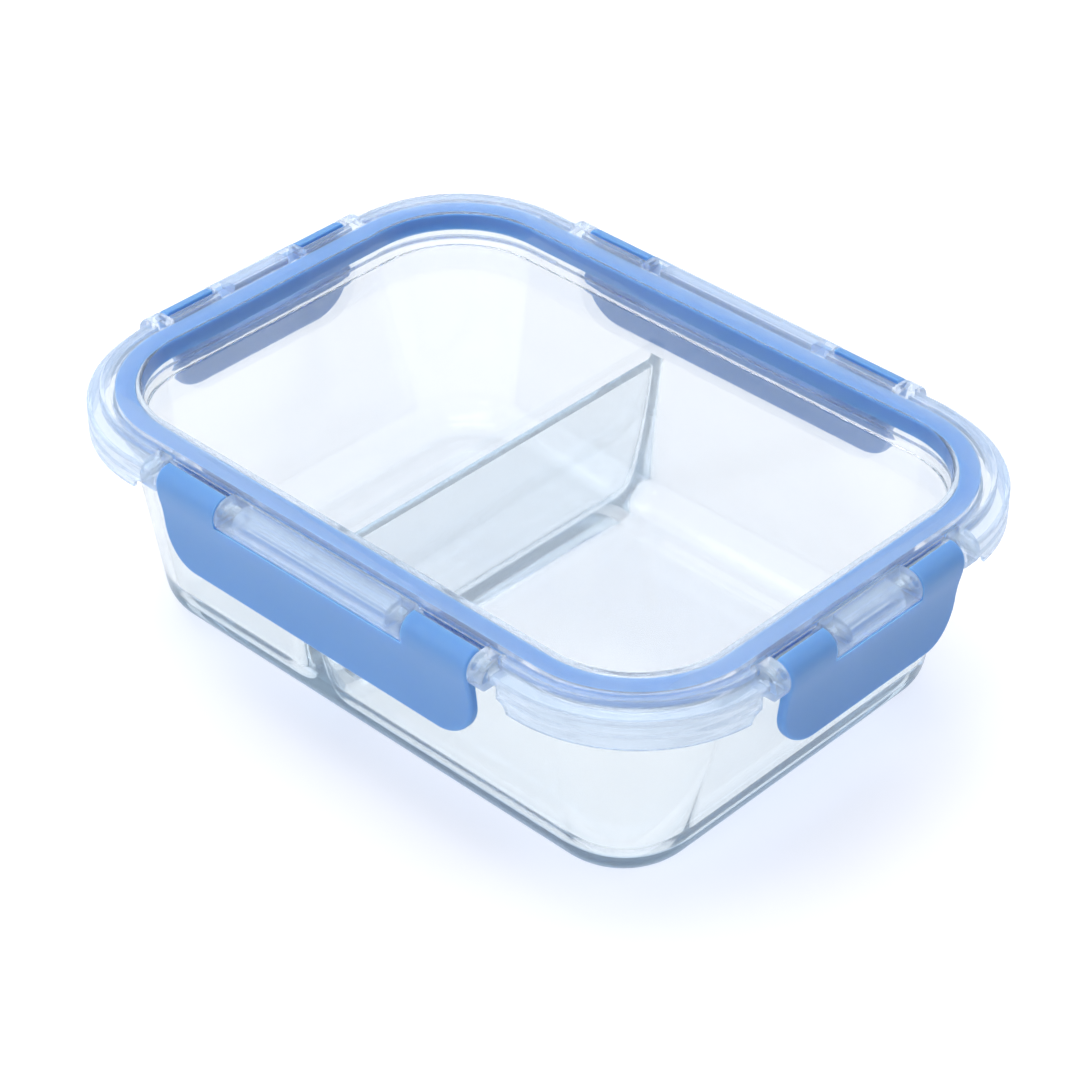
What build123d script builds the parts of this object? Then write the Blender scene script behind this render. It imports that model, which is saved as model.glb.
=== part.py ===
from build123d import *
from math import asin, degrees, hypot, sqrt
import os

# Two-compartment glass lunch box: a pressed glass base with its divider, a clear lid that carries
# the seal, and a latch on each side that clips onto the lid's hinge rods and hooks under the rim.
# X runs along the long side, Y along the short side, Z up, origin under the middle of the foot.
# All sizes are in millimetres. An inset is measured inwards from the outer face of the lid's skirt.

# glass base
foot_length = 180.0
foot_width = 127.0
foot_corner_radius = 20.0
foot_edge_radius = 9.0
floor_thickness = 4.5
floor_edge_radius = 6.5       # round both compartments, along the divider as well
glass_wall = 3.4              # at the floor, where the wall is thickest
rim_height = 65.0
rim_depth = 6.2
rim_thickness = 4.9
rim_past_seal = 0.85          # the rim stands this far outside the seal
rim_overhang = 2.7            # the ledge under the rim that the latches catch
rim_edge_radius = 1.4
rim_throat = 2.6              # straight part of the inner wall below the rim's top

# divider, pressed in one with the glass
divider_offset = -19.6        # middle of the divider along X
divider_gap = 10.9            # from the divider's top up to the underside of the lid's panel
divider_top_thickness = 2.8
divider_foot_thickness = 5.2
divider_end_radius = 7.0      # where it runs into the long walls, larger than the floor's
divider_top_radius = 1.1

# lid
lid_length = 223.0
lid_width = 163.0
lid_corner_radius = 42.5
lid_wall = 1.3
lid_rise = 5.0                # from the rim's top up to the lid's top
ledge_width = 3.5             # step around each corner of the lid
ledge_drop = 3.4
skirt_height = 12.5           # from the lid's top down to the lower edge of the corner skirts
skirt_end_relief = 2.5        # the skirts stop this far short of the lugs, below them
skirt_end_radius = 3.2
notch_above_lug = 2.2         # the opening beside a lug reaches this far above its lower end
recess_depth = 9.8            # from the lid's top down to the window panel
recess_draft = 1.0            # the recess is narrower by this much on each side at its floor
recess_floor_radius = 1.8
recess_edge_radius = 0.9
lid_edge_radius = 0.8
skirt_edge_radius = 0.45
lug_edge_radius = 0.5
rib_gap = 1.0                 # from the rim's top up to the rib that keeps the seal in place

# seal
skirt_to_seal = 7.7           # inset of the seal's outer face
seal_width = 5.35
seal_lip_width = 0.9
seal_lip_depth = 1.6
seal_fit = 0.1                # clearance between the seal and its channel
seal_squeeze_gap = 0.05       # between the seal and the rim's top

# hinges on the lid
long_latch_width = 111.0
short_latch_width = 66.0
long_block_width = 66.4
short_block_width = 32.0
latch_side_gap = 0.3
lug_thickness = 5.3
lug_radius = 4.9
barrel_inset = 2.75           # middle of the lugs' rounded nose
barrel_drop = 5.2             # from the lid's top down to that middle
lug_drop = 7.8                # and down to the lugs' lower end
rod_inset = 1.55
rod_drop = 4.5
rod_radius = 1.5
rod_end_sink = 1.0            # how far a rod runs into the lug and the block at its ends
block_window_margin = 6.0
block_wall = 1.3
recess_for_latch = 5.05       # inset of the lid's edge behind the latches

# latches
rod_running_gap = 0.08
knuckle_radius = 4.75
knuckle_heel = 0.3            # material behind the bore
knuckle_flat = 0.3            # short flat on top of the knuckle, behind its rounded nose
knuckle_chamfer = 1.15        # how far the knuckle's back edge lies below its top
knuckle_shoulder = 3.1        # from the rod's middle down to the knuckle's lower back corner
clip_mouth = 2.3
swing_gap = 0.3               # between the centre block and the edge of the latch's cut-out
flap_drop = 28.8              # from the lid's top down to the flap's lower edge
flap_thickness = 2.4
flap_waist = 1.8              # how far the flap's face lies behind the knuckle's widest point
flap_lean = 0.85              # the flap still stands this far out where the nose runs into it
flap_nose_run = 6.0           # from the barrel's middle down to that place on the front
flap_neck_run = 4.5           # and on the back
flap_flare = 0.5              # the lower lip turns out by this much
flap_corner_radius = 11.5
flap_edge_radius = 1.1
hook_reach = 1.5              # how far the hook goes under the rim
hook_gap = 0.4
hook_thickness = 0.9
hook_root = 3.9
hook_sink = 1.4               # the hook's root runs this far into the flap
hook_gusset_reach = 3.0
hook_gusset_drop = 1.4
hook_end_margin = 5.5

# heights, insets and drafts worked out from the sizes above
rim_bottom = rim_height - rim_depth
lid_top_height = rim_height + lid_rise
rim_inset = skirt_to_seal - rim_past_seal
throat_inset = rim_inset + rim_thickness
throat_bottom = rim_height - rim_throat
wall_inset = rim_inset + rim_overhang
long_draft = (lid_length / 2 - wall_inset - foot_length / 2) / rim_bottom
short_draft = (lid_width / 2 - wall_inset - foot_width / 2) / rim_bottom
floor_length = foot_length + 2 * (long_draft * floor_thickness - glass_wall)
floor_width = foot_width + 2 * (short_draft * floor_thickness - glass_wall)
plate_bottom = lid_top_height - lid_wall
ledge_top = lid_top_height - ledge_drop
ledge_bottom = ledge_top - lid_wall
skirt_bottom = lid_top_height - skirt_height
panel_top = lid_top_height - recess_depth
panel_bottom = panel_top - lid_wall
divider_height = panel_bottom - divider_gap
rib_inset = skirt_to_seal - seal_fit - lid_wall
rib_bottom = rim_height + rib_gap
seal_bottom = rim_height + seal_squeeze_gap
seal_lip_inset = skirt_to_seal + seal_width - seal_lip_width
channel_inset = skirt_to_seal + seal_width + seal_fit
recess_inset = channel_inset + lid_wall
lug_offset = latch_side_gap + lug_thickness
barrel_height = lid_top_height - barrel_drop
lug_bottom = lid_top_height - lug_drop
rod_height = lid_top_height - rod_drop
flap_bottom = lid_top_height - flap_drop
block_lip = sqrt(lug_radius**2 - (barrel_height - lug_bottom) ** 2) - barrel_inset
cutout_radius = hypot(block_lip + rod_inset, rod_height - lug_bottom) + swing_gap
hook_top = rim_bottom - hook_gap
hook_tip_inset = rim_inset + hook_reach

# name: direction out of that side, its distance from the middle, latch width, centre block width
sides = {
    "front": (Vector(0, -1, 0), lid_width / 2, long_latch_width, long_block_width),
    "back": (Vector(0, 1, 0), lid_width / 2, long_latch_width, long_block_width),
    "left": (Vector(-1, 0, 0), lid_length / 2, short_latch_width, short_block_width),
    "right": (Vector(1, 0, 0), lid_length / 2, short_latch_width, short_block_width),
}
up = Vector(0, 0, 1)


def outline(inset):
    """Rounded outline of the lid's plan, moved inwards by the inset."""
    RectangleRounded(lid_length - 2 * inset, lid_width - 2 * inset, lid_corner_radius - inset)


def ring(outer_inset, inner_inset, bottom, top):
    """Upright band between two insets."""
    with BuildSketch(Plane.XY.offset(bottom)) as band:
        outline(outer_inset)
        with BuildSketch(mode=Mode.PRIVATE) as inner:
            outline(inner_inset)
        add(inner.sketch, mode=Mode.SUBTRACT)
    extrude(band.sketch, amount=top - bottom)


def section_plane(name):
    """Plane across one side: local x points out of the side from the skirt's face, local y is up."""
    outward, distance, latch_width, block_width = sides[name]
    return Plane(origin=outward * distance, x_dir=outward, z_dir=outward.cross(up))


def facing_plane(name):
    """Plane against the skirt's face on one side: local x runs along the side, local y is up."""
    outward, distance, latch_width, block_width = sides[name]
    return Plane(origin=outward * distance, x_dir=up.cross(outward), z_dir=outward)


def barrel_profile(radius, back, bottom):
    """Section of a hinge lug: flat back and top, and a rounded nose about the barrel's middle."""
    crown = barrel_height + radius
    with BuildLine() as edge:
        Line((back, bottom), (back, crown))
        Line((back, crown), (-barrel_inset, crown))
        turn = 90 + degrees(asin((barrel_height - bottom) / radius))
        nose = JernArc((-barrel_inset, crown), (1, 0), radius, -turn)
        Line(nose @ 1, (back, bottom))
    make_face(edge.edges())


# ---------------------------------------------------------------- glass base
with BuildPart() as divider_core:
    half_foot = divider_foot_thickness / 2
    half_top = divider_top_thickness / 2
    with BuildSketch(Plane.XZ):
        with BuildLine():
            Polyline(
                (divider_offset + half_top, divider_height),
                (divider_offset + half_foot, floor_thickness),
                (divider_offset + half_foot, 0),
                (divider_offset - half_foot, 0),
                (divider_offset - half_foot, floor_thickness),
                (divider_offset - half_top, divider_height),
                close=True,
            )
        make_face()
    extrude(amount=lid_width / 2, both=True)

with BuildPart() as compartments:
    with BuildSketch(Plane.XY.offset(floor_thickness)):
        RectangleRounded(floor_length, floor_width, foot_corner_radius - glass_wall)
    with BuildSketch(Plane.XY.offset(throat_bottom)):
        outline(throat_inset)
    loft(ruled=True)
    extrude(compartments.faces().sort_by(Axis.Z)[-1], amount=rim_throat)
    add(divider_core.part, mode=Mode.SUBTRACT)
    # curves where the divider meets the long walls, then round the floor, then over its top
    flanks = compartments.faces().filter_by(lambda face: abs(face.center().X - divider_offset) < half_foot)
    ends = flanks.edges().filter_by(lambda edge: edge.bounding_box().size.Z > divider_height / 2)
    fillet(ends, divider_end_radius)
    floor_edges = compartments.edges().filter_by(lambda edge: abs(edge.center().Z - floor_thickness) < 0.01)
    fillet(floor_edges, floor_edge_radius)
    crest = compartments.edges().filter_by(lambda edge: abs(edge.center().Z - divider_height) < 0.01)
    fillet(crest, divider_top_radius)

with BuildPart() as glass_base:
    with BuildSketch():
        RectangleRounded(foot_length, foot_width, foot_corner_radius)
    with BuildSketch(Plane.XY.offset(rim_bottom)):
        outline(wall_inset)
    loft(ruled=True)
    fillet(glass_base.faces().sort_by(Axis.Z)[0].edges(), foot_edge_radius)
    with BuildSketch(Plane.XY.offset(rim_bottom)) as rim_face:
        outline(rim_inset)
    extrude(rim_face.sketch, amount=rim_depth)
    fillet(glass_base.faces().sort_by(Axis.Z)[-1].edges(), rim_edge_radius)
    add(compartments.part, mode=Mode.SUBTRACT)


# ---------------------------------------------------------------- seal
with BuildPart() as seal:
    ring(skirt_to_seal, skirt_to_seal + seal_width, seal_bottom, plate_bottom - seal_fit)
    ring(seal_lip_inset, skirt_to_seal + seal_width, rim_height - seal_lip_depth, seal_bottom)


# ---------------------------------------------------------------- lid
with BuildPart() as recess:
    with BuildSketch(Plane.XY.offset(panel_top)):
        outline(recess_inset + recess_draft)
    with BuildSketch(Plane.XY.offset(lid_top_height)):
        outline(recess_inset)
    loft(ruled=True)
    fillet(recess.faces().sort_by(Axis.Z)[0].edges(), recess_floor_radius)

with BuildPart() as lid:
    # pan that hangs inside the rim
    with BuildSketch(Plane.XY.offset(panel_bottom)):
        outline(channel_inset + recess_draft)
    with BuildSketch(Plane.XY.offset(plate_bottom)):
        outline(channel_inset)
    loft(ruled=True)
    # top plate, rib beside the seal, step, ledge and skirt
    with BuildSketch(Plane.XY.offset(plate_bottom)) as plate:
        outline(ledge_width)
    extrude(plate.sketch, amount=lid_wall)
    ring(rib_inset, rib_inset + lid_wall, rib_bottom, plate_bottom)
    ring(ledge_width, ledge_width + lid_wall, ledge_bottom, plate_bottom)
    ring(0, ledge_width, ledge_bottom, ledge_top)
    ring(0, lid_wall, skirt_bottom, ledge_bottom)
    # eased outer edges of the top, the ledge and the skirt
    fillet(lid.faces().sort_by(Axis.Z)[-1].outer_wire().edges(), lid_edge_radius)
    ledge_face = lid.faces().filter_by(Plane.XY).sort_by(lambda face: abs(face.center().Z - ledge_top))[0]
    fillet(ledge_face.outer_wire().edges(), lid_edge_radius)
    fillet(lid.faces().sort_by(Axis.Z)[0].edges(), skirt_edge_radius)
    # straight stretches that make room for the latches, and the ends of the corner skirts
    for name in sides:
        outward, distance, latch_width, block_width = sides[name]
        zone_half = latch_width / 2 + lug_offset
        with BuildSketch(section_plane(name).offset(-zone_half)) as zone:
            with Locations((0, lid_top_height)):
                Rectangle(2 * recess_for_latch, 2 * (skirt_height + lid_wall))
        extrude(zone.sketch, amount=2 * zone_half, mode=Mode.SUBTRACT)
        notch_half = zone_half + skirt_end_relief
        notch_foot = notch_half + skirt_end_radius
        with BuildSketch(facing_plane(name).offset(-recess_for_latch)) as notch:
            with BuildLine():
                top = Line((notch_half, lug_bottom + notch_above_lug), (-notch_half, lug_bottom + notch_above_lug))
                left_end = Line(top @ 1, (-notch_half, skirt_bottom + skirt_end_radius))
                left_round = RadiusArc(left_end @ 1, (-notch_foot, skirt_bottom), -skirt_end_radius)
                Polyline(
                    left_round @ 1,
                    (-notch_foot, skirt_bottom - lid_wall),
                    (notch_foot, skirt_bottom - lid_wall),
                    (notch_foot, skirt_bottom),
                )
                right_end = (notch_half, skirt_bottom + skirt_end_radius)
                RadiusArc((notch_foot, skirt_bottom), right_end, -skirt_end_radius)
                Line(right_end, top @ 0)
            make_face()
        extrude(notch.sketch, amount=2 * recess_for_latch, mode=Mode.SUBTRACT)
    add(recess.part, mode=Mode.SUBTRACT)
    fillet(lid.faces().sort_by(Axis.Z)[-1].inner_wires()[0].edges(), recess_edge_radius)
    # hinge lugs and centre blocks
    for name in sides:
        outward, distance, latch_width, block_width = sides[name]
        lug_start = latch_width / 2 + latch_side_gap
        spans = (
            (-lug_start - lug_thickness, lug_thickness),
            (-block_width / 2, block_width),
            (lug_start, lug_thickness),
        )
        for start, length in spans:
            with BuildSketch(section_plane(name).offset(start)) as lug_face:
                barrel_profile(lug_radius, -rib_inset, lug_bottom)
            extrude(lug_face.sketch, amount=length)
    noses = lid.edges().filter_by(GeomType.CIRCLE).filter_by(lambda edge: abs(edge.radius - lug_radius) < 0.001)
    fillet(noses, lug_edge_radius)
    for name in sides:
        outward, distance, latch_width, block_width = sides[name]
        # window moulded up into the block from below
        window = block_width - 2 * block_window_margin
        with BuildSketch(section_plane(name).offset(-window / 2)) as window_face:
            barrel_profile(lug_radius - block_wall, -recess_for_latch, lug_bottom)
        extrude(window_face.sketch, amount=window, mode=Mode.SUBTRACT)
        # rods between the lugs and the block
        rod_start = block_width / 2 - rod_end_sink
        rod_length = latch_width / 2 + latch_side_gap + rod_end_sink - rod_start
        for start in (rod_start, -rod_start - rod_length):
            with BuildSketch(section_plane(name).offset(start)) as rod_face:
                with Locations((-rod_inset, rod_height)):
                    Circle(rod_radius)
            extrude(rod_face.sketch, amount=rod_length)


# ---------------------------------------------------------------- latches
def build_latch(name):
    """One latch: a flap hung from two split knuckles, with a hook across its back."""
    outward, distance, latch_width, block_width = sides[name]
    across = section_plane(name)
    outward_axis = Axis((0, 0, 0), tuple(outward))
    flap_face = knuckle_radius - barrel_inset - flap_waist
    flap_back = flap_face - flap_thickness
    flap_middle = (barrel_height + flap_bottom) / 2
    knuckle_top = barrel_height + knuckle_radius
    knuckle_back = -rod_inset - rod_radius - knuckle_heel
    flat_start = -barrel_inset - knuckle_flat
    with BuildPart() as latch:
        with BuildSketch(across.offset(-latch_width / 2)) as section:
            with BuildLine() as edge:
                slope = Line((knuckle_back, knuckle_top - knuckle_chamfer), (flat_start, knuckle_top))
                flat = Line(slope @ 1, (-barrel_inset, knuckle_top))
                nose = JernArc(flat @ 1, (1, 0), knuckle_radius, -90)
                front = Spline(
                    nose @ 1,
                    (flap_face + flap_lean, barrel_height - flap_nose_run),
                    (flap_face, flap_middle),
                    (flap_face + flap_flare, flap_bottom),
                    tangents=((0, -1), (0.15, -1)),
                )
                lip = Line(front @ 1, (flap_back + flap_flare, flap_bottom))
                back = Spline(
                    lip @ 1,
                    (flap_back, flap_middle),
                    (flap_back + flap_lean, barrel_height - flap_neck_run),
                    tangents=((-0.15, 1), (0.1, 1)),
                )
                shoulder = Line(back @ 1, (knuckle_back, rod_height - knuckle_shoulder))
                Line(shoulder @ 1, slope @ 0)
            make_face(edge.edges())
        extrude(section.sketch, amount=latch_width)
        # rounded lower corners of the flap
        fillet(latch.edges().filter_by(outward_axis).sort_by(Axis.Z)[0:2], flap_corner_radius)
        # eased edge round the outside of the flap and over the ends of the knuckles
        nose_face, front_face = latch.faces().sort_by(outward_axis)[-2:]
        seam = set(nose_face.edges()) & set(front_face.edges())
        rim = [edge for edge in nose_face.edges() + front_face.edges() if edge not in seam]
        straight = [edge for edge in rim if abs(edge.length - latch_width) < 0.01]
        fillet([edge for edge in rim if edge not in straight], flap_edge_radius)
        # hook that catches under the rim
        with BuildSketch(across.offset(-latch_width / 2 + hook_end_margin)) as hook_face:
            with BuildLine() as edge:
                Polyline(
                    (flap_back + hook_sink, hook_top),
                    (-hook_tip_inset, hook_top),
                    (-hook_tip_inset, hook_top - hook_thickness),
                    (flap_back - hook_gusset_reach, hook_top - hook_thickness - hook_gusset_drop),
                    (flap_back + hook_sink, hook_top - hook_root),
                    close=True,
                )
            make_face(edge.edges())
        extrude(hook_face.sketch, amount=latch_width - 2 * hook_end_margin)
        # cut-out that swings clear of the centre block
        cutout_width = block_width + 2 * latch_side_gap
        with BuildSketch(across.offset(-cutout_width / 2)) as cutout:
            with Locations((-rod_inset, rod_height)):
                Circle(cutout_radius)
        extrude(cutout.sketch, amount=cutout_width, mode=Mode.SUBTRACT)
        # split bore that clips over the rod
        with BuildSketch(across.offset(-latch_width / 2)) as bore:
            with Locations((-rod_inset, rod_height)):
                Circle(rod_radius + rod_running_gap)
                Rectangle(knuckle_radius, clip_mouth, align=(Align.MAX, Align.CENTER))
        extrude(bore.sketch, amount=latch_width, mode=Mode.SUBTRACT)
    return latch


latches = {name: build_latch(name) for name in sides}


# ---------------------------------------------------------------- files, one for each piece
os.makedirs("parts", exist_ok=True)
glass_base.part.label = "glass_base"
export_step(glass_base.part, "parts/glass_base.step")
seal.part.label = "seal"
export_step(seal.part, "parts/seal.step")
lid.part.label = "lid"
export_step(lid.part, "parts/lid.step")
for name in sides:
    latches[name].part.label = "latch_" + name
    export_step(latches[name].part, "parts/latch_" + name + ".step")
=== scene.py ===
import bmesh
import bpy
import numpy as np
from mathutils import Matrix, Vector


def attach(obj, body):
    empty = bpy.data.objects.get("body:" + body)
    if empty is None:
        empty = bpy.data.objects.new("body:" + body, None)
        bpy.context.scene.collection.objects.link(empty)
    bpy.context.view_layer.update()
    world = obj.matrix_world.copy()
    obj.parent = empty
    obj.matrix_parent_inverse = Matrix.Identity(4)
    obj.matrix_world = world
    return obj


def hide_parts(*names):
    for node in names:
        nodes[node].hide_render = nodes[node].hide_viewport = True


# Glass lunch box with a clear snap lid, a silicone seal and four latches. Metres, Z up.

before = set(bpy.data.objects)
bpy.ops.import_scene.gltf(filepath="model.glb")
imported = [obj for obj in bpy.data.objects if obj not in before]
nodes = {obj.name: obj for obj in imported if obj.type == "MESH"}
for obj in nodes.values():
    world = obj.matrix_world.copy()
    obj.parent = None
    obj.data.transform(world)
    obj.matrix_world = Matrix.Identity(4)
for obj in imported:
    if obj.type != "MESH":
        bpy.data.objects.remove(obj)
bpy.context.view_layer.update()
print("frame loaded:", len(nodes), "nodes")

white = (1.0, 1.0, 1.0, 1.0)


def addNode(tree, kind, *feeds, **values):
    # one shader node. Lower-case names are its settings, names with a capital its sockets (_ for a space)
    # and feeds its sockets in order. A socket takes a value, an output, or a node's first output.
    node = tree.nodes.new(kind)
    for name in filter(str.islower, values):
        setattr(node, name, values[name])
    sockets = list(zip(node.inputs, feeds))
    sockets += [(node.inputs[name.replace("_", " ")], values[name]) for name in values if not name.islower()]
    for socket, value in sockets:
        if isinstance(value, bpy.types.Node):
            value = value.outputs[0]
        if isinstance(value, bpy.types.NodeSocket):
            tree.links.new(value, socket)
        else:
            socket.default_value = value
    return node


def addMath(tree, operation, *terms):
    return addNode(tree, "ShaderNodeMath", *terms, operation=operation)


def addMix(tree, share, first, second):
    # goes from the first shader to the second as the share rises from 0 to 1
    return addNode(tree, "ShaderNodeMixShader", share, first, second)


def addRamp(tree, mask, stops):
    # Color Ramp through rising (place, colour) stops
    ramp = addNode(tree, "ShaderNodeValToRGB", mask)
    elements = ramp.color_ramp.elements
    elements.remove(elements[1])
    for place, colour in stops[1:]:
        elements.new(place).color = colour
    elements[0].position, elements[0].color = stops[0]
    return ramp


def newMaterial(name):
    material = bpy.data.materials.new(name)
    material.use_nodes = True
    material.node_tree.nodes.clear()
    return material, material.node_tree


def newGroup(name, inputs, outputs):
    # node group with named sockets; gives the group and what comes in through its inputs
    group = bpy.data.node_groups.new(name, "ShaderNodeTree")
    for direction, sockets in (("INPUT", inputs), ("OUTPUT", outputs)):
        for socket, kind in sockets.items():
            group.interface.new_socket(socket, in_out=direction, socket_type="NodeSocket" + kind)
    return group, group.nodes.new("NodeGroupInput").outputs


# what every moulded surface of the box shares
moulded = {
    "grainDetail": 3.0,
    "grainRoughness": 0.55,
    "grainStrength": 0.35,
    "patchScale": 22.0,
    "patchDetail": 2.0,
    "cloudScale": 35.0,
    "cloudDetail": 4.0,
    "variation": 0.045,  # how much lighter and darker the clouds make a colour
    "openAt": 0.6,  # openness from which a place has no painted crevice shade
}


def buildSurfaceGroup():
    # roughness: the base plus the spread times a broad noise; height: a fine noise
    group, given = newGroup(
        "mouldedSurface",
        {"Grain Scale": "Float", "Base Roughness": "Float", "Roughness Spread": "Float"},
        {"Roughness": "Float", "Height": "Float"},
    )
    place = addNode(group, "ShaderNodeTexCoord").outputs["Object"]
    grain = addNode(group, "ShaderNodeTexNoise", Vector=place, Scale=given["Grain Scale"],
                    Detail=moulded["grainDetail"], Roughness=moulded["grainRoughness"])
    patches = addNode(group, "ShaderNodeTexNoise", Vector=place, Scale=moulded["patchScale"],
                      Detail=moulded["patchDetail"])
    roughness = addMath(group, "MULTIPLY_ADD", patches, given["Roughness Spread"], given["Base Roughness"])
    addNode(group, "NodeGroupOutput", Roughness=roughness, Height=grain)
    return group


def buildColourAndShadeGroup():
    # colour: lighter and darker in soft clouds by the variation, and turned towards the painted shade colour
    # in crevices, where the openness is low: painted shade where less light reaches
    group, given = newGroup(
        "mouldedColourAndPaintedShade",
        {"Color": "Color", "Variation": "Float", "Openness": "Float", "Shade Color": "Color"},
        {"Color": "Color"},
    )
    place = addNode(group, "ShaderNodeTexCoord").outputs["Object"]
    clouds = addNode(group, "ShaderNodeTexNoise", Vector=place, Scale=moulded["cloudScale"],
                     Detail=moulded["cloudDetail"])
    swing = addMath(group, "MULTIPLY_ADD", clouds, 2.0, -1.0)
    level = addMath(group, "MULTIPLY_ADD", swing, given["Variation"], 1.0)
    clouded = addNode(group, "ShaderNodeVectorMath", given["Color"], operation="SCALE", Scale=level)
    openness = addNode(group, "ShaderNodeMath", given["Openness"], moulded["openAt"],
                       operation="DIVIDE", use_clamp=True)
    # painted shade: where the openness is low the colour is mixed towards the shade colour
    shade = addNode(group, "ShaderNodeMix", data_type="RGBA", Factor=openness,
                    A=given["Shade Color"], B=white)
    shaded = addNode(group, "ShaderNodeMix", data_type="RGBA", blend_type="MULTIPLY", Factor=1.0,
                     A=clouded, B=shade.outputs["Result"])
    addNode(group, "NodeGroupOutput", Color=shaded.outputs["Result"])
    return group


surfaceGroup = buildSurfaceGroup()
colourAndShadeGroup = buildColourAndShadeGroup()


def addSurface(tree, look, body):
    # gives the body its roughness and its grain; the Bump node is handed back for ribs below the grain
    surface = addNode(tree, "ShaderNodeGroup", node_tree=surfaceGroup, Grain_Scale=look["grainScale"],
                      Base_Roughness=look["roughness"], Roughness_Spread=look["spread"])
    grain = addNode(tree, "ShaderNodeBump", Height=surface.outputs["Height"], Distance=look["grainHeight"],
                    Strength=moulded["grainStrength"])
    tree.links.new(surface.outputs["Roughness"], body.inputs["Roughness"])
    tree.links.new(grain.outputs["Normal"], body.inputs["Normal"])
    return grain


def addRibs(tree, look, zone):
    # level ribs: a sine of the height, faded in by the zone
    place = addNode(tree, "ShaderNodeTexCoord").outputs["Object"]
    height = addNode(tree, "ShaderNodeSeparateXYZ", place).outputs["Z"]
    wave = addMath(tree, "SINE", addMath(tree, "MULTIPLY", height, 2 * np.pi / look["ribPitch"]))
    return addNode(tree, "ShaderNodeBump", Height=addMath(tree, "MULTIPLY", wave, zone),
                   Distance=look["ribHeight"], Strength=look["ribStrength"])


def clearMaterial(name, look):
    # a clear solid: part of it refracts, part lets the view straight through with a tint that deepens
    # on faces seen at a slant, and a little is milky. Lamp light and light from matt things goes
    # through with plain tints, and the depth of the solid colours what is seen through it.
    material, tree = newMaterial(name)
    body = addNode(tree, "ShaderNodeBsdfPrincipled", Base_Color=look["tint"], IOR=look["ior"], Metallic=0.0,
                   Transmission_Weight=1.0)
    grain = addSurface(tree, look, body)
    slant = addNode(tree, "ShaderNodeLayerWeight", Blend=look["slantBlend"]).outputs["Facing"]
    tint = addRamp(tree, slant, [(0.0, look["faceTint"]), (1.0, look["slantTint"])])
    straight = addNode(tree, "ShaderNodeBsdfTransparent", Color=tint)
    milk = addNode(tree, "ShaderNodeBsdfDiffuse", Color=look["milkColour"])
    straightShare, milkShare = look["straightShare"], look["milkShare"]
    if "ribHeight" in look:
        # outside the seal the solid is milkier, lets more of the view straight through and has ribs
        zone = addNode(tree, "ShaderNodeAttribute", attribute_name="outerZone").outputs["Fac"]
        straightShare = addMath(tree, "MULTIPLY_ADD", zone, look["outerStraight"], straightShare)
        milkShare = addMath(tree, "MULTIPLY_ADD", zone, look["outerMilk"], milkShare)
        tree.links.new(addRibs(tree, look, zone).outputs["Normal"], grain.inputs["Normal"])
    seen = addMix(tree, milkShare, addMix(tree, straightShare, body, straight), milk)
    rays = addNode(tree, "ShaderNodeLightPath").outputs
    for ray, plainTint in (("Is Shadow Ray", look["shadowTint"]), ("Is Diffuse Ray", look["roomTint"])):
        seen = addMix(tree, rays[ray], seen, addNode(tree, "ShaderNodeBsdfTransparent", Color=plainTint))
    depth = addNode(tree, "ShaderNodeVolumeAbsorption", Color=look["depthColour"],
                    Density=look["depthDensity"])
    addNode(tree, "ShaderNodeOutputMaterial", Surface=seen, Volume=depth)
    return material


def solidMaterial(name, look):
    # coloured moulding that lets some light in, with clouded colour and painted shade in its crevices
    material, tree = newMaterial(name)
    # ambient occlusion finds the crevices, where the colour is darkened as painted shade
    shelter = addNode(tree, "ShaderNodeAmbientOcclusion", samples=look["shadeSamples"], only_local=True,
                      Distance=look["shadeReach"])
    colour = addNode(tree, "ShaderNodeGroup", node_tree=colourAndShadeGroup, Color=look["colour"],
                     Variation=moulded["variation"], Openness=shelter.outputs["AO"],
                     Shade_Color=look["paintedShadeColour"])
    body = addNode(tree, "ShaderNodeBsdfPrincipled", Base_Color=colour, IOR=look["ior"],
                   Subsurface_Weight=look["glowThrough"], Subsurface_Scale=look["glowDepth"],
                   Subsurface_Radius=look["glowRadius"])
    addSurface(tree, look, body)
    addNode(tree, "ShaderNodeOutputMaterial", Surface=body)
    return material


mergeDistance = 2e-6
flatAngle = 0.4  # degrees


def closeMesh(mesh, isGrid):
    # merges points that meet; then the faces of grids are turned outwards, and those of a CAD shape,
    # which already are, are joined where they are flat
    work = bmesh.new()
    work.from_mesh(mesh)
    bmesh.ops.remove_doubles(work, verts=work.verts, dist=mergeDistance)
    if isGrid:
        bmesh.ops.recalc_face_normals(work, faces=work.faces)
    else:
        bmesh.ops.dissolve_limit(work, angle_limit=np.radians(flatAngle), verts=work.verts, edges=work.edges)
    openEdges = sum(not edge.is_manifold for edge in work.edges)
    work.to_mesh(mesh)
    work.free()
    mesh.polygons.foreach_set("use_smooth", np.ones(len(mesh.polygons), dtype=bool))
    print(mesh.name, len(mesh.polygons), "faces,", openEdges, "open edges")


def dress(node, look):
    # the solid itself carries the finish, and a copy of its mesh takes it along
    node.data.materials.clear()
    node.data.materials.append(look["material"])


def placePiece(mesh):
    piece = bpy.data.objects.new(mesh.name, mesh)
    bpy.context.scene.collection.objects.link(piece)
    return piece


def flattenFaces(piece):
    # smooth shading that keeps the large faces flat, after any bevel
    piece.modifiers.new("flatFaces", "WEIGHTED_NORMAL").keep_sharp = True


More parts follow.
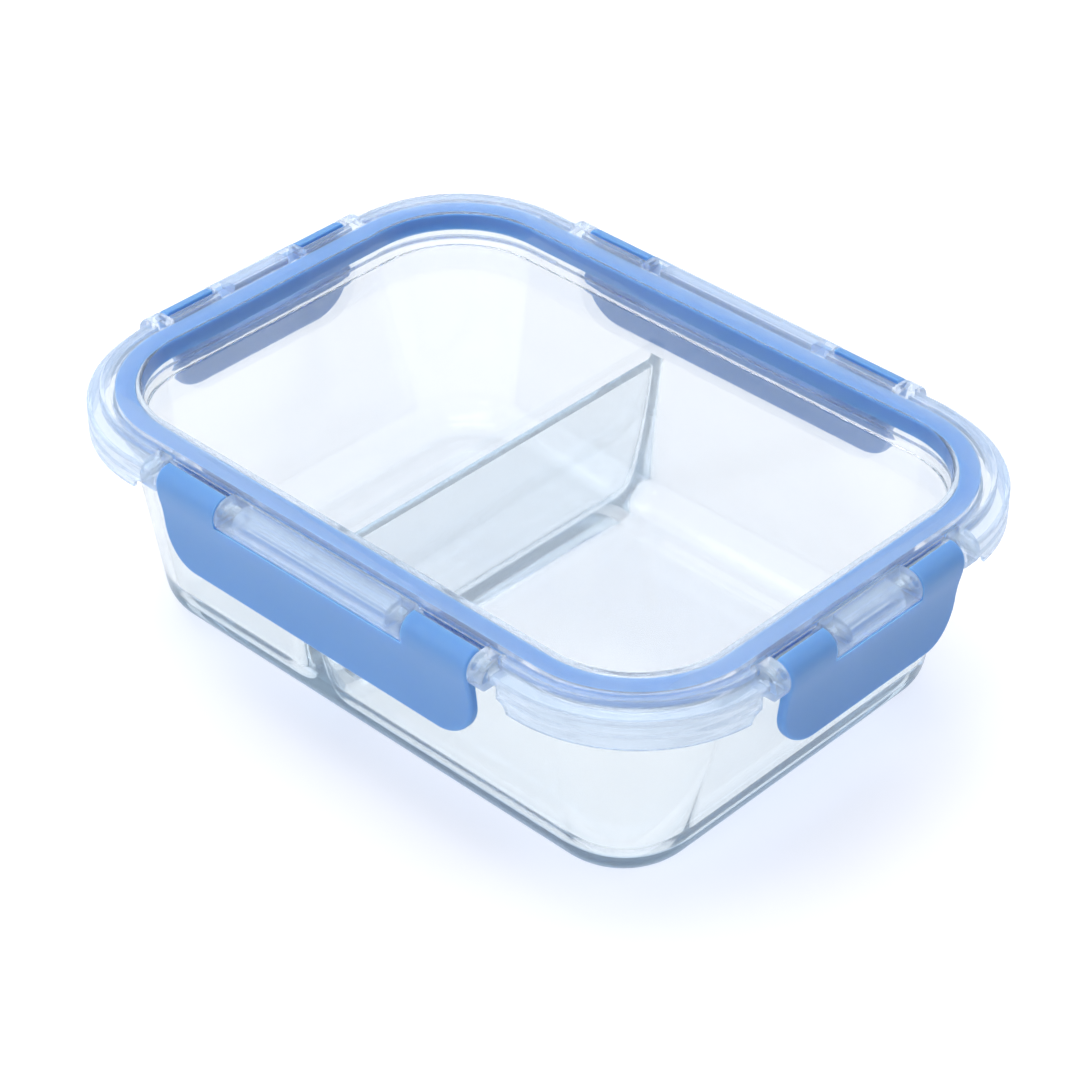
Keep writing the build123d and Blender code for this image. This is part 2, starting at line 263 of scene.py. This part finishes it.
lid = {
    # outline over the corner skirts
    "length": 0.223,
    "width": 0.163,
    "corner": 0.0425,
    # how far in from that outline the outer finish begins, and the width over which it grows to full
    "zoneStart": 0.0062,
    "zoneWidth": 0.0025,
    # bevel along the sharp edges
    "easeWidth": 0.00035,
    "easeSegments": 2,
    "easeAngle": 28.0,  # degrees
    "slot": "clear_plastic",
    # finish
    "ior": 1.33,
    "tint": (0.98, 0.985, 1.0, 1.0),
    "faceTint": (0.985, 0.99, 1.0, 1.0),
    "slantTint": (0.72, 0.85, 1.0, 1.0),
    "slantBlend": 0.3,
    "straightShare": 0.1,
    "outerStraight": 0.3,
    "milkColour": (0.64, 0.80, 1.0, 1.0),
    "milkShare": 0.03,
    "outerMilk": 0.19,
    "depthColour": (0.45, 0.74, 1.0, 1.0),
    "depthDensity": 18.0,
    "shadowTint": (0.88, 0.895, 0.935, 1.0),
    "roomTint": (0.96, 0.97, 0.99, 1.0),
    "roughness": 0.02,
    "spread": 0.04,
    "grainScale": 260.0,
    "grainHeight": 0.000003,
    "ribPitch": 0.0038,
    "ribHeight": 0.00025,
    "ribStrength": 0.6,
}
lid["material"] = clearMaterial("clearLidPlastic", lid)


def markOuterZone(mesh):
    # 0 over the seal, rising to 1 on the skirt, lugs and blocks: a ramp over how far in from the lid's
    # rounded outline each point lies
    spots = np.empty(len(mesh.vertices) * 3)
    mesh.vertices.foreach_get("co", spots)
    straight = np.array([lid["length"], lid["width"]]) / 2 - lid["corner"]
    beyond = np.abs(spots.reshape(-1, 3)[:, :2]) - straight
    inset = lid["corner"] - np.hypot(*np.maximum(beyond, 0).T) - np.minimum(beyond.max(axis=1), 0)
    zone = mesh.attributes.new("outerZone", "FLOAT", "POINT")
    zone.data.foreach_set("value", np.clip((lid["zoneStart"] - inset) / lid["zoneWidth"], 0, 1))


seal = {
    # bevel along the sharp edges
    "easeWidth": 0.0006,
    "easeSegments": 3,
    "easeAngle": 40.0,  # degrees
    "slot": "silicone",
    # finish
    "colour": (0.105, 0.315, 0.69, 1.0),
    "ior": 1.47,
    "roughness": 0.42,
    "spread": 0.12,
    "grainScale": 500.0,
    "grainHeight": 0.00002,
    # painted shade: in crevices within this reach the colour turns towards this shade colour
    "paintedShadeColour": (0.55, 0.70, 0.88, 1.0),
    "shadeReach": 0.002,
    "shadeSamples": 6,
    "glowThrough": 0.9,
    "glowDepth": 0.004,
    "glowRadius": (0.7, 0.9, 1.0),
}
seal["material"] = solidMaterial("sealSilicone", seal)

latch = {
    # bevel along the sharp edges
    "easeWidth": 0.0003,
    "easeSegments": 2,
    "easeAngle": 32.0,  # degrees
    "slot": "latch_plastic",
    # finish
    "colour": (0.143, 0.330, 0.660, 1.0),
    "ior": 1.47,
    "roughness": 0.36,
    "spread": 0.14,
    "grainScale": 900.0,
    "grainHeight": 0.00003,
    # painted shade: in crevices within this reach the colour turns towards this dark navy shade colour
    "paintedShadeColour": (0.10, 0.20, 0.38, 1.0),
    "shadeReach": 0.002,
    "shadeSamples": 6,
    "glowThrough": 1.0,
    "glowDepth": 0.0028,
    "glowRadius": (0.7, 0.9, 1.0),
}
latch["material"] = solidMaterial("latchPlastic", latch)

pieceLooks = {"lid": lid, "seal": seal}  # the other eased pieces are latches


def easedCopy(name, look):
    # the CAD shape with a narrow bevel along what is still sharp
    mesh = nodes[name].data.copy()
    mesh.name = name + "Eased"
    closeMesh(mesh, isGrid=False)
    if name == "lid":
        markOuterZone(mesh)
    piece = placePiece(mesh)
    bevel = piece.modifiers.new("easedEdges", "BEVEL")
    bevel.width = look["easeWidth"]
    bevel.segments = look["easeSegments"]
    bevel.limit_method = "ANGLE"
    bevel.angle_limit = np.radians(look["easeAngle"])
    bevel.harden_normals = True
    flattenFaces(piece)
    return piece


for name, node in nodes.items():
    if name != "glass_base":
        look = pieceLooks.get(name, latch)
        dress(node, look)
        piece = easedCopy(name, look)
        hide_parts(name)
        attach(piece, "lid" if name == "seal" else name)
print("lid, seal and latches ready")

glass = {
    # foot: the outline it would have with sharp edges, its rounding, and the hollow inside its ring
    "footLength": 0.180,
    "footWidth": 0.127,
    "footCorner": 0.020,
    "footRadius": 0.009,
    "footRing": 0.0055,
    "footSlope": 0.002,
    "footHollow": 0.0005,
    "floor": 0.0050,
    "floorRadius": 0.008,
    "wall": 0.0036,
    # rim and throat: heights, and insets from the lid's outline
    "rimTop": 0.065,
    "rimBottom": 0.0588,
    "rimInset": 0.00685,
    "rimEdge": 0.0014,
    "underRim": 0.0012,
    "wallInset": 0.00955,
    "throatInset": 0.01175,
    "throatBottom": 0.0624,
    # divider: half widths at its top and foot, rounding of its top, fillet at its foot, and fillets at
    # its ends, which grow downwards from dividerEnd to dividerEndLow with a power of the scaled depth
    "dividerAt": -0.0196,
    "dividerTop": 0.0480,
    "dividerHalfTop": 0.0015,
    "dividerHalfFoot": 0.0026,
    "dividerRound": 0.0012,
    "dividerFoot": 0.006,
    "dividerEnd": 0.0026,
    "dividerEndLow": 0.0075,
    "endGrowth": 1.15,
    "endPower": 3,
    "leastRadius": 0.0004,
    # points along each stretch, and shares of the half size where the closing rows of a floor lie
    "perCorner": 20,
    "perSide": 14,
    "perEnd": 7,
    "perFillet": 12,
    "perRimEdge": 5,
    "perCrown": 6,
    "wallRows": 9,
    "throatRows": 5,
    "flankRows": 10,
    "acrossTop": 3,
    "undersideShares": [0.0, 0.35, 0.7, 1.0],
    "floorShares": [0.8, 0.45, 0.15, 0.0],
    # finish
    "ior": 1.45,
    "tint": (0.99, 0.998, 0.997, 1.0),
    "faceTint": (0.985, 0.992, 1.0, 1.0),
    "slantTint": (0.80, 0.90, 0.95, 1.0),
    "slantBlend": 0.25,
    "straightShare": 0.12,
    "milkColour": (0.80, 0.88, 0.90, 1.0),
    "milkShare": 0.01,
    "depthColour": (0.36, 0.67, 0.85, 1.0),
    "depthDensity": 22.0,
    "shadowTint": (0.80, 0.82, 0.865, 1.0),
    "roomTint": (0.96, 0.97, 0.985, 1.0),
    "roughness": 0.0,
    "spread": 0.02,
    "grainScale": 90.0,
    "grainHeight": 0.00002,
}
glass["material"] = clearMaterial("pressedGlass", glass)


def weave(grid, closed):
    # quads between neighbouring rows and columns of a grid of points; a closed grid joins its last
    # column to its first
    rows, columns = grid.shape[:2]
    index = np.arange(rows * columns).reshape(rows, columns)
    beside = np.roll(index, -1, axis=1)
    quads = np.stack([index[:-1], beside[:-1], beside[1:], index[1:]], axis=-1)
    return (quads if closed else quads[:, :-1]).reshape(-1, 4)


def joinSheets(name, sheets, material):
    # one closed piece from several (grid, closed) sheets whose borders meet
    points, faces, count = [], [], 0
    for grid, closed in sheets:
        faces.append(weave(grid, closed) + count)
        points.append(grid.reshape(-1, 3))
        count += len(points[-1])
    mesh = bpy.data.meshes.new(name)
    mesh.from_pydata(np.concatenate(points), [], np.concatenate(faces))
    mesh.materials.append(material)
    closeMesh(mesh, isGrid=True)
    piece = placePiece(mesh)
    flattenFaces(piece)
    return piece


def mixed(a, b, share):
    # a at share 0, b at share 1, and straight between them
    return a + (b - a) * share


def column(values):
    # one value for each row of a grid
    return np.asarray(values, dtype=float)[:, None]


def arc(start, end, steps):
    # cosines and sines of evenly spaced angles, given in degrees
    angle = np.radians(np.linspace(start, end, steps + 1))
    return np.cos(angle), np.sin(angle)


def raised(plan, height):
    # rows of (x, y) points, each row lifted to its own height
    lift = np.broadcast_to(column(height)[..., None], plan.shape[:2] + (1,))
    return np.concatenate([plan, lift], axis=-1)


def joinRuns(*runs):
    # columns of (x, y) runs put end to end; the point where two runs meet is taken once
    runs = [np.broadcast_arrays(x, y) for x, y in runs]
    kept = [[axis[:, :-1] for axis in run] for run in runs[:-1]] + [runs[-1]]
    return [np.concatenate(axis, axis=1) for axis in zip(*kept)]


def outerHalf(halfX, halfY, radius, start):
    # +X half of a rounded rectangle, counter-clockwise from x = start on the -Y side to the same x on
    # the +Y side: straight, quarter circle, straight, quarter circle, straight
    share = np.linspace(0, 1, glass["perSide"] + 1)
    flatX, flatY = halfX - radius, halfY - radius
    lowCos, lowSin = arc(-90, 0, glass["perCorner"])
    highCos, highSin = arc(0, 90, glass["perCorner"])
    return joinRuns(
        (mixed(start, flatX, share), -halfY),
        (flatX + radius * lowCos, radius * lowSin - flatY),
        (halfX, mixed(-flatY, flatY, share)),
        (flatX + radius * highCos, radius * highSin + flatY),
        (mixed(flatX, start, share), halfY),
    )


def dividerSide(halfY, radius, start):
    # the rest of that loop, from the +Y side back to the -Y side: quarter circle, straight, quarter circle
    share = np.linspace(0, 1, glass["perSide"] + 1)
    flatY = halfY - radius
    highCos, highSin = arc(90, 180, glass["perEnd"])
    lowCos, lowSin = arc(180, 270, glass["perEnd"])
    return joinRuns(
        (start + radius * highCos, radius * highSin + flatY),
        (start - radius, mixed(flatY, -flatY, share)),
        (start + radius * lowCos, radius * lowSin - flatY),
    )


def filletInset(radius, height):
    # how far a quarter circle between a flat and an upright stands out at a height above the flat
    return radius - np.sqrt(np.maximum(radius**2 - np.maximum(radius - height, 0) ** 2, 0))


# outlines as (half length, half width, corner radius)
lidOutline = np.array([lid["length"] / 2, lid["width"] / 2, lid["corner"]])
footOutline = np.array([glass["footLength"] / 2, glass["footWidth"] / 2, glass["footCorner"]])
draft = (lidOutline - glass["wallInset"] - footOutline) / glass["rimBottom"]


def insideWall(height):
    # outlines of the inside: straight lines from the floor's outline, whose corners keep the foot's
    # radius, up to the throat's
    low = footOutline + draft * [1, 1, 0] * glass["floor"] - glass["wall"]
    high = lidOutline - glass["throatInset"]
    rise = glass["throatBottom"] - glass["floor"]
    return mixed(low, high, column(height - glass["floor"]) / rise)


def outsideRows():
    # outline and height of every row from the middle of the underside, over the foot's ring and
    # rounding, up the drafted wall, round the rim and down the throat to the divider's top
    foot, small, edge = glass["footRadius"], glass["underRim"], glass["rimEdge"]
    low, top, rimIn = glass["rimBottom"], glass["rimTop"], glass["rimInset"]
    ring = footOutline - foot - glass["footRing"]
    hollow = column(glass["undersideShares"]) * (ring - glass["footSlope"])
    c, s = arc(0, 90, glass["perFillet"])
    wall = np.linspace(foot, low - small, glass["wallRows"])[1:]
    footHeights = np.concatenate([foot * (1 - c), wall])
    footInsets = np.concatenate([foot * (1 - s), 0 * wall])
    # rim: fillet under it, its lower edge, its top edge, and the edge round into the throat
    c, s = arc(0, 90, glass["perRimEdge"])
    rimInsets = np.concatenate([glass["wallInset"] - small * (1 - c), rimIn + edge * (1 - s),
                                rimIn + edge * (1 - c), glass["throatInset"] - edge * (1 - s)])
    rimHeights = np.concatenate([low - small * (1 - s), low + edge * (1 - c), top - edge * (1 - s),
                                 top - edge * (1 - c)])
    throat = np.linspace(glass["throatBottom"], glass["dividerTop"], glass["throatRows"])
    outlines = [hollow, ring[None], footOutline + draft * column(footHeights) - column(footInsets),
                lidOutline - column(rimInsets), insideWall(throat)]
    heights = [np.full(len(hollow), glass["footHollow"]), [0.0], footHeights, rimHeights, throat]
    return np.concatenate(outlines), np.concatenate(heights)


def outsideSheet():
    # each row is a rounded rectangle, split at the divider's top on both long sides so that its points
    # meet those of the two compartments
    outline, height = outsideRows()
    halfX, halfY, radius = (column(part) for part in outline.T)
    reach = glass["dividerHalfTop"] - glass["dividerRound"] + glass["dividerEnd"]
    narrow = np.minimum(halfX / halfX[-1], 1)
    rightX, rightY = outerHalf(halfX, halfY, radius, (glass["dividerAt"] + reach) * narrow)
    leftX, leftY = outerHalf(halfX, halfY, radius, (reach - glass["dividerAt"]) * narrow)
    right = np.stack([rightX, rightY], axis=-1)
    left = -np.stack([leftX, leftY], axis=-1)
    across = column(np.linspace(0, 1, glass["acrossTop"] + 1)[1:-1])
    back = mixed(right[:, -1:], left[:, :1], across)
    front = mixed(left[:, -1:], right[:, :1], across)
    return raised(np.concatenate([right, back, left, front], axis=1), height)


def compartment(side):
    # rows from the divider's rounded top down its flank, round the floor's edge and in to the middle of
    # the floor; side is 1 for +X and -1 for -X. Gives the grid and its edge along the divider's top.
    floor, big, rounding = glass["floor"], glass["floorRadius"], glass["dividerRound"]
    c, s = arc(90, 0, glass["perCrown"])
    crown = glass["dividerTop"] - rounding * (1 - s)
    flank = np.linspace(crown[-1], floor + big, glass["flankRows"])[1:]
    low = floor + big * (1 - arc(0, 90, glass["perFillet"])[1][1:])
    z = np.concatenate([crown, flank, low])
    crownInset = np.concatenate([rounding * (1 - c), 0 * flank, 0 * low])
    wallInset = filletInset(big, z - floor)
    footInset = filletInset(glass["dividerFoot"], z - floor)
    # the divider thickens and its end fillets grow on the way down
    depth = (crown[0] - z) / (crown[0] - floor)
    half = mixed(glass["dividerHalfTop"], glass["dividerHalfFoot"], depth)
    growth = np.clip(depth * glass["endGrowth"], 0, 1) ** glass["endPower"]
    end = mixed(glass["dividerEnd"], glass["dividerEndLow"], growth) - footInset
    end = np.maximum(end, glass["leastRadius"])
    start = side * glass["dividerAt"] + half - crownInset + footInset + end
    halfX, halfY, radius = insideWall(z).T - wallInset
    radius = np.maximum(radius, glass["leastRadius"])
    wallX, wallY = outerHalf(column(halfX), column(halfY), column(radius), column(start))
    faceX, faceY = dividerSide(column(halfY), column(end), column(start))
    x = np.concatenate([wallX, faceX[:, 1:-1]], axis=1)
    y = np.concatenate([wallY, faceY[:, 1:-1]], axis=1)
    # flat floor: smaller and smaller copies of the last row, down to one point
    shares = column(glass["floorShares"])
    middle = (x[-1].max() + x[-1].min()) / 2
    x = np.concatenate([x, mixed(middle, x[-1:], shares)])
    y = np.concatenate([y, y[-1:] * shares])
    z = np.concatenate([z, np.full(len(shares), floor)])
    grid = raised(side * np.stack([x, y], axis=-1), z)
    return grid, side * np.stack([faceX[0], faceY[0]], axis=-1)[::side]


def buildGlass():
    rightGrid, rightEdge = compartment(1)
    leftGrid, leftEdge = compartment(-1)
    across = np.linspace(0, 1, glass["acrossTop"] + 1)
    top = raised(mixed(leftEdge, rightEdge, across[:, None, None]), 0 * across + glass["dividerTop"])
    sheets = [(outsideSheet(), True), (rightGrid, True), (leftGrid, True), (top, False)]
    return joinSheets("glassBase", sheets, glass["material"])


dress(nodes["glass_base"], glass)
glassBase = buildGlass()
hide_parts("glass_base")
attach(glassBase, "glass")
print("glass base ready")

studio = {
    "floorSize": 6.0,
    "fadeStart": 0.3,  # from the middle of the box
    "fadeEnd": 0.8,
    "floorColour": (0.85, 0.845, 0.865, 1.0),
    "cameraGlow": (0.24, 0.235, 0.235, 1.0),
    "glossyGlow": (0.15, 0.15, 0.15, 1.0),
    "throughGlass": (1.08, 1.05, 1.05, 1.0),
    "throughShare": 0.8,  # the rest is the paper with its shadow
    "worldColour": (0.92, 0.95, 1.0, 1.0),
    "worldStrength": 0.56,
    # what clear and glossy things mirror: (height of the direction, colour)
    "mirrored": [(0.03, (0.14, 0.29, 0.40, 1.0)), (0.26, (0.76, 0.86, 0.93, 1.0)), (0.45, white)],
    "cameraPlace": (0.49116, -0.51287, 0.55489),
    "cameraBack": (0.5567, -0.5813, 0.5935),  # from what it looks at back to the camera
    "lens": 111.0,
    "sensor": 36.0,
    "nearest": 0.01,
}

lamps = {
    "topLamp": {
        "place": (-0.32, 0.1, 1.5),
        "size": 1.2,
        "power": 17.5,
        "colour": (1.0, 0.99, 0.97),
        "mirrored": False,
    },
    "frontLamp": {
        "place": (-1.2, -1.3, 0.9),
        "size": 1.8,
        "power": 5.0,
        "colour": (0.97, 0.98, 1.0),
        "mirrored": True,
    },
    "cornerLamp": {
        "place": (0.2, -1.2, 0.75),
        "size": 0.35,
        "power": 2.2,
        "colour": (1.0, 1.0, 1.0),
        "mirrored": True,
    },
}


def paperMaterial():
    # white paper that glows a little. Through the glass and the lid it is mostly an even pale tone,
    # with part of the shadow left; far from the box the camera sees plain white, with no horizon.
    material, tree = newMaterial("paperFloor")
    rays = addNode(tree, "ShaderNodeLightPath").outputs
    paper = addNode(tree, "ShaderNodeBsdfDiffuse", Color=studio["floorColour"])
    even = addNode(tree, "ShaderNodeEmission", Color=studio["throughGlass"])
    through = addMath(tree, "MULTIPLY", rays["Is Transmission Ray"], studio["throughShare"])
    seen = addMix(tree, through, paper, even)
    for ray, glowColour in (("Is Camera Ray", "cameraGlow"), ("Is Glossy Ray", "glossyGlow")):
        glow = addNode(tree, "ShaderNodeEmission", Color=studio[glowColour], Strength=rays[ray])
        seen = addNode(tree, "ShaderNodeAddShader", seen, glow)
    place = addNode(tree, "ShaderNodeTexCoord").outputs["Object"]
    distance = addNode(tree, "ShaderNodeVectorMath", place, operation="LENGTH").outputs["Value"]
    fade = addNode(tree, "ShaderNodeMapRange", Value=distance, From_Min=studio["fadeStart"],
                   From_Max=studio["fadeEnd"])
    far = addMath(tree, "MULTIPLY", fade, rays["Is Camera Ray"])
    seen = addMix(tree, far, seen, addNode(tree, "ShaderNodeEmission", Color=white))
    addNode(tree, "ShaderNodeOutputMaterial", Surface=seen)
    return material


def buildFloor():
    half = studio["floorSize"] / 2
    mesh = bpy.data.meshes.new("floor")
    corners = [(-half, -half, 0), (half, -half, 0), (half, half, 0), (-half, half, 0)]
    mesh.from_pydata(corners, [], [(0, 1, 2, 3)])
    mesh.materials.append(paperMaterial())
    floor = placePiece(mesh)


def buildWorld():
    # lit by an even pale blue; clear and glossy things see steel blue low down and white above, and the
    # camera sees white
    world = bpy.data.worlds.new("studioRoom")
    bpy.context.scene.world = world
    world.use_nodes = True
    tree = world.node_tree
    tree.nodes.clear()
    direction = addNode(tree, "ShaderNodeTexCoord").outputs["Generated"]
    height = addNode(tree, "ShaderNodeSeparateXYZ", direction).outputs["Z"]
    sky = addNode(tree, "ShaderNodeBackground", addRamp(tree, height, studio["mirrored"]), 1.0)
    backdrop = addNode(tree, "ShaderNodeBackground", white, 1.0)
    rays = addNode(tree, "ShaderNodeLightPath").outputs
    seen = addNode(tree, "ShaderNodeBackground", studio["worldColour"], studio["worldStrength"])
    for ray, surround in (("Is Glossy Ray", sky), ("Is Transmission Ray", sky), ("Is Camera Ray", backdrop)):
        seen = addMix(tree, rays[ray], seen, surround)
    addNode(tree, "ShaderNodeOutputWorld", Surface=seen)


def aimBack(thing, back):
    # turns a lamp or camera so that it looks against the direction back, with its top up
    thing.rotation_euler = (-Vector(back)).to_track_quat("-Z", "Y").to_euler()
    bpy.context.scene.collection.objects.link(thing)


def buildLamp(name, lamp):
    light = bpy.data.lights.new(name, "AREA")
    light.shape = "SQUARE"
    light.size = lamp["size"]
    light.energy = lamp["power"]
    light.color = lamp["colour"]
    thing = bpy.data.objects.new(name, light)
    thing.location = lamp["place"]
    thing.visible_glossy = lamp["mirrored"]
    aimBack(thing, lamp["place"])


def buildCamera():
    lens = bpy.data.cameras.new("camera")
    lens.lens = studio["lens"]
    lens.sensor_width = studio["sensor"]
    lens.clip_start = studio["nearest"]
    camera = bpy.data.objects.new("camera", lens)
    camera.location = studio["cameraPlace"]
    aimBack(camera, studio["cameraBack"])
    bpy.context.scene.camera = camera


buildFloor()
buildWorld()
for name, lamp in lamps.items():
    buildLamp(name, lamp)
buildCamera()
bpy.context.scene.view_settings.view_transform = "Standard"
print("studio ready")
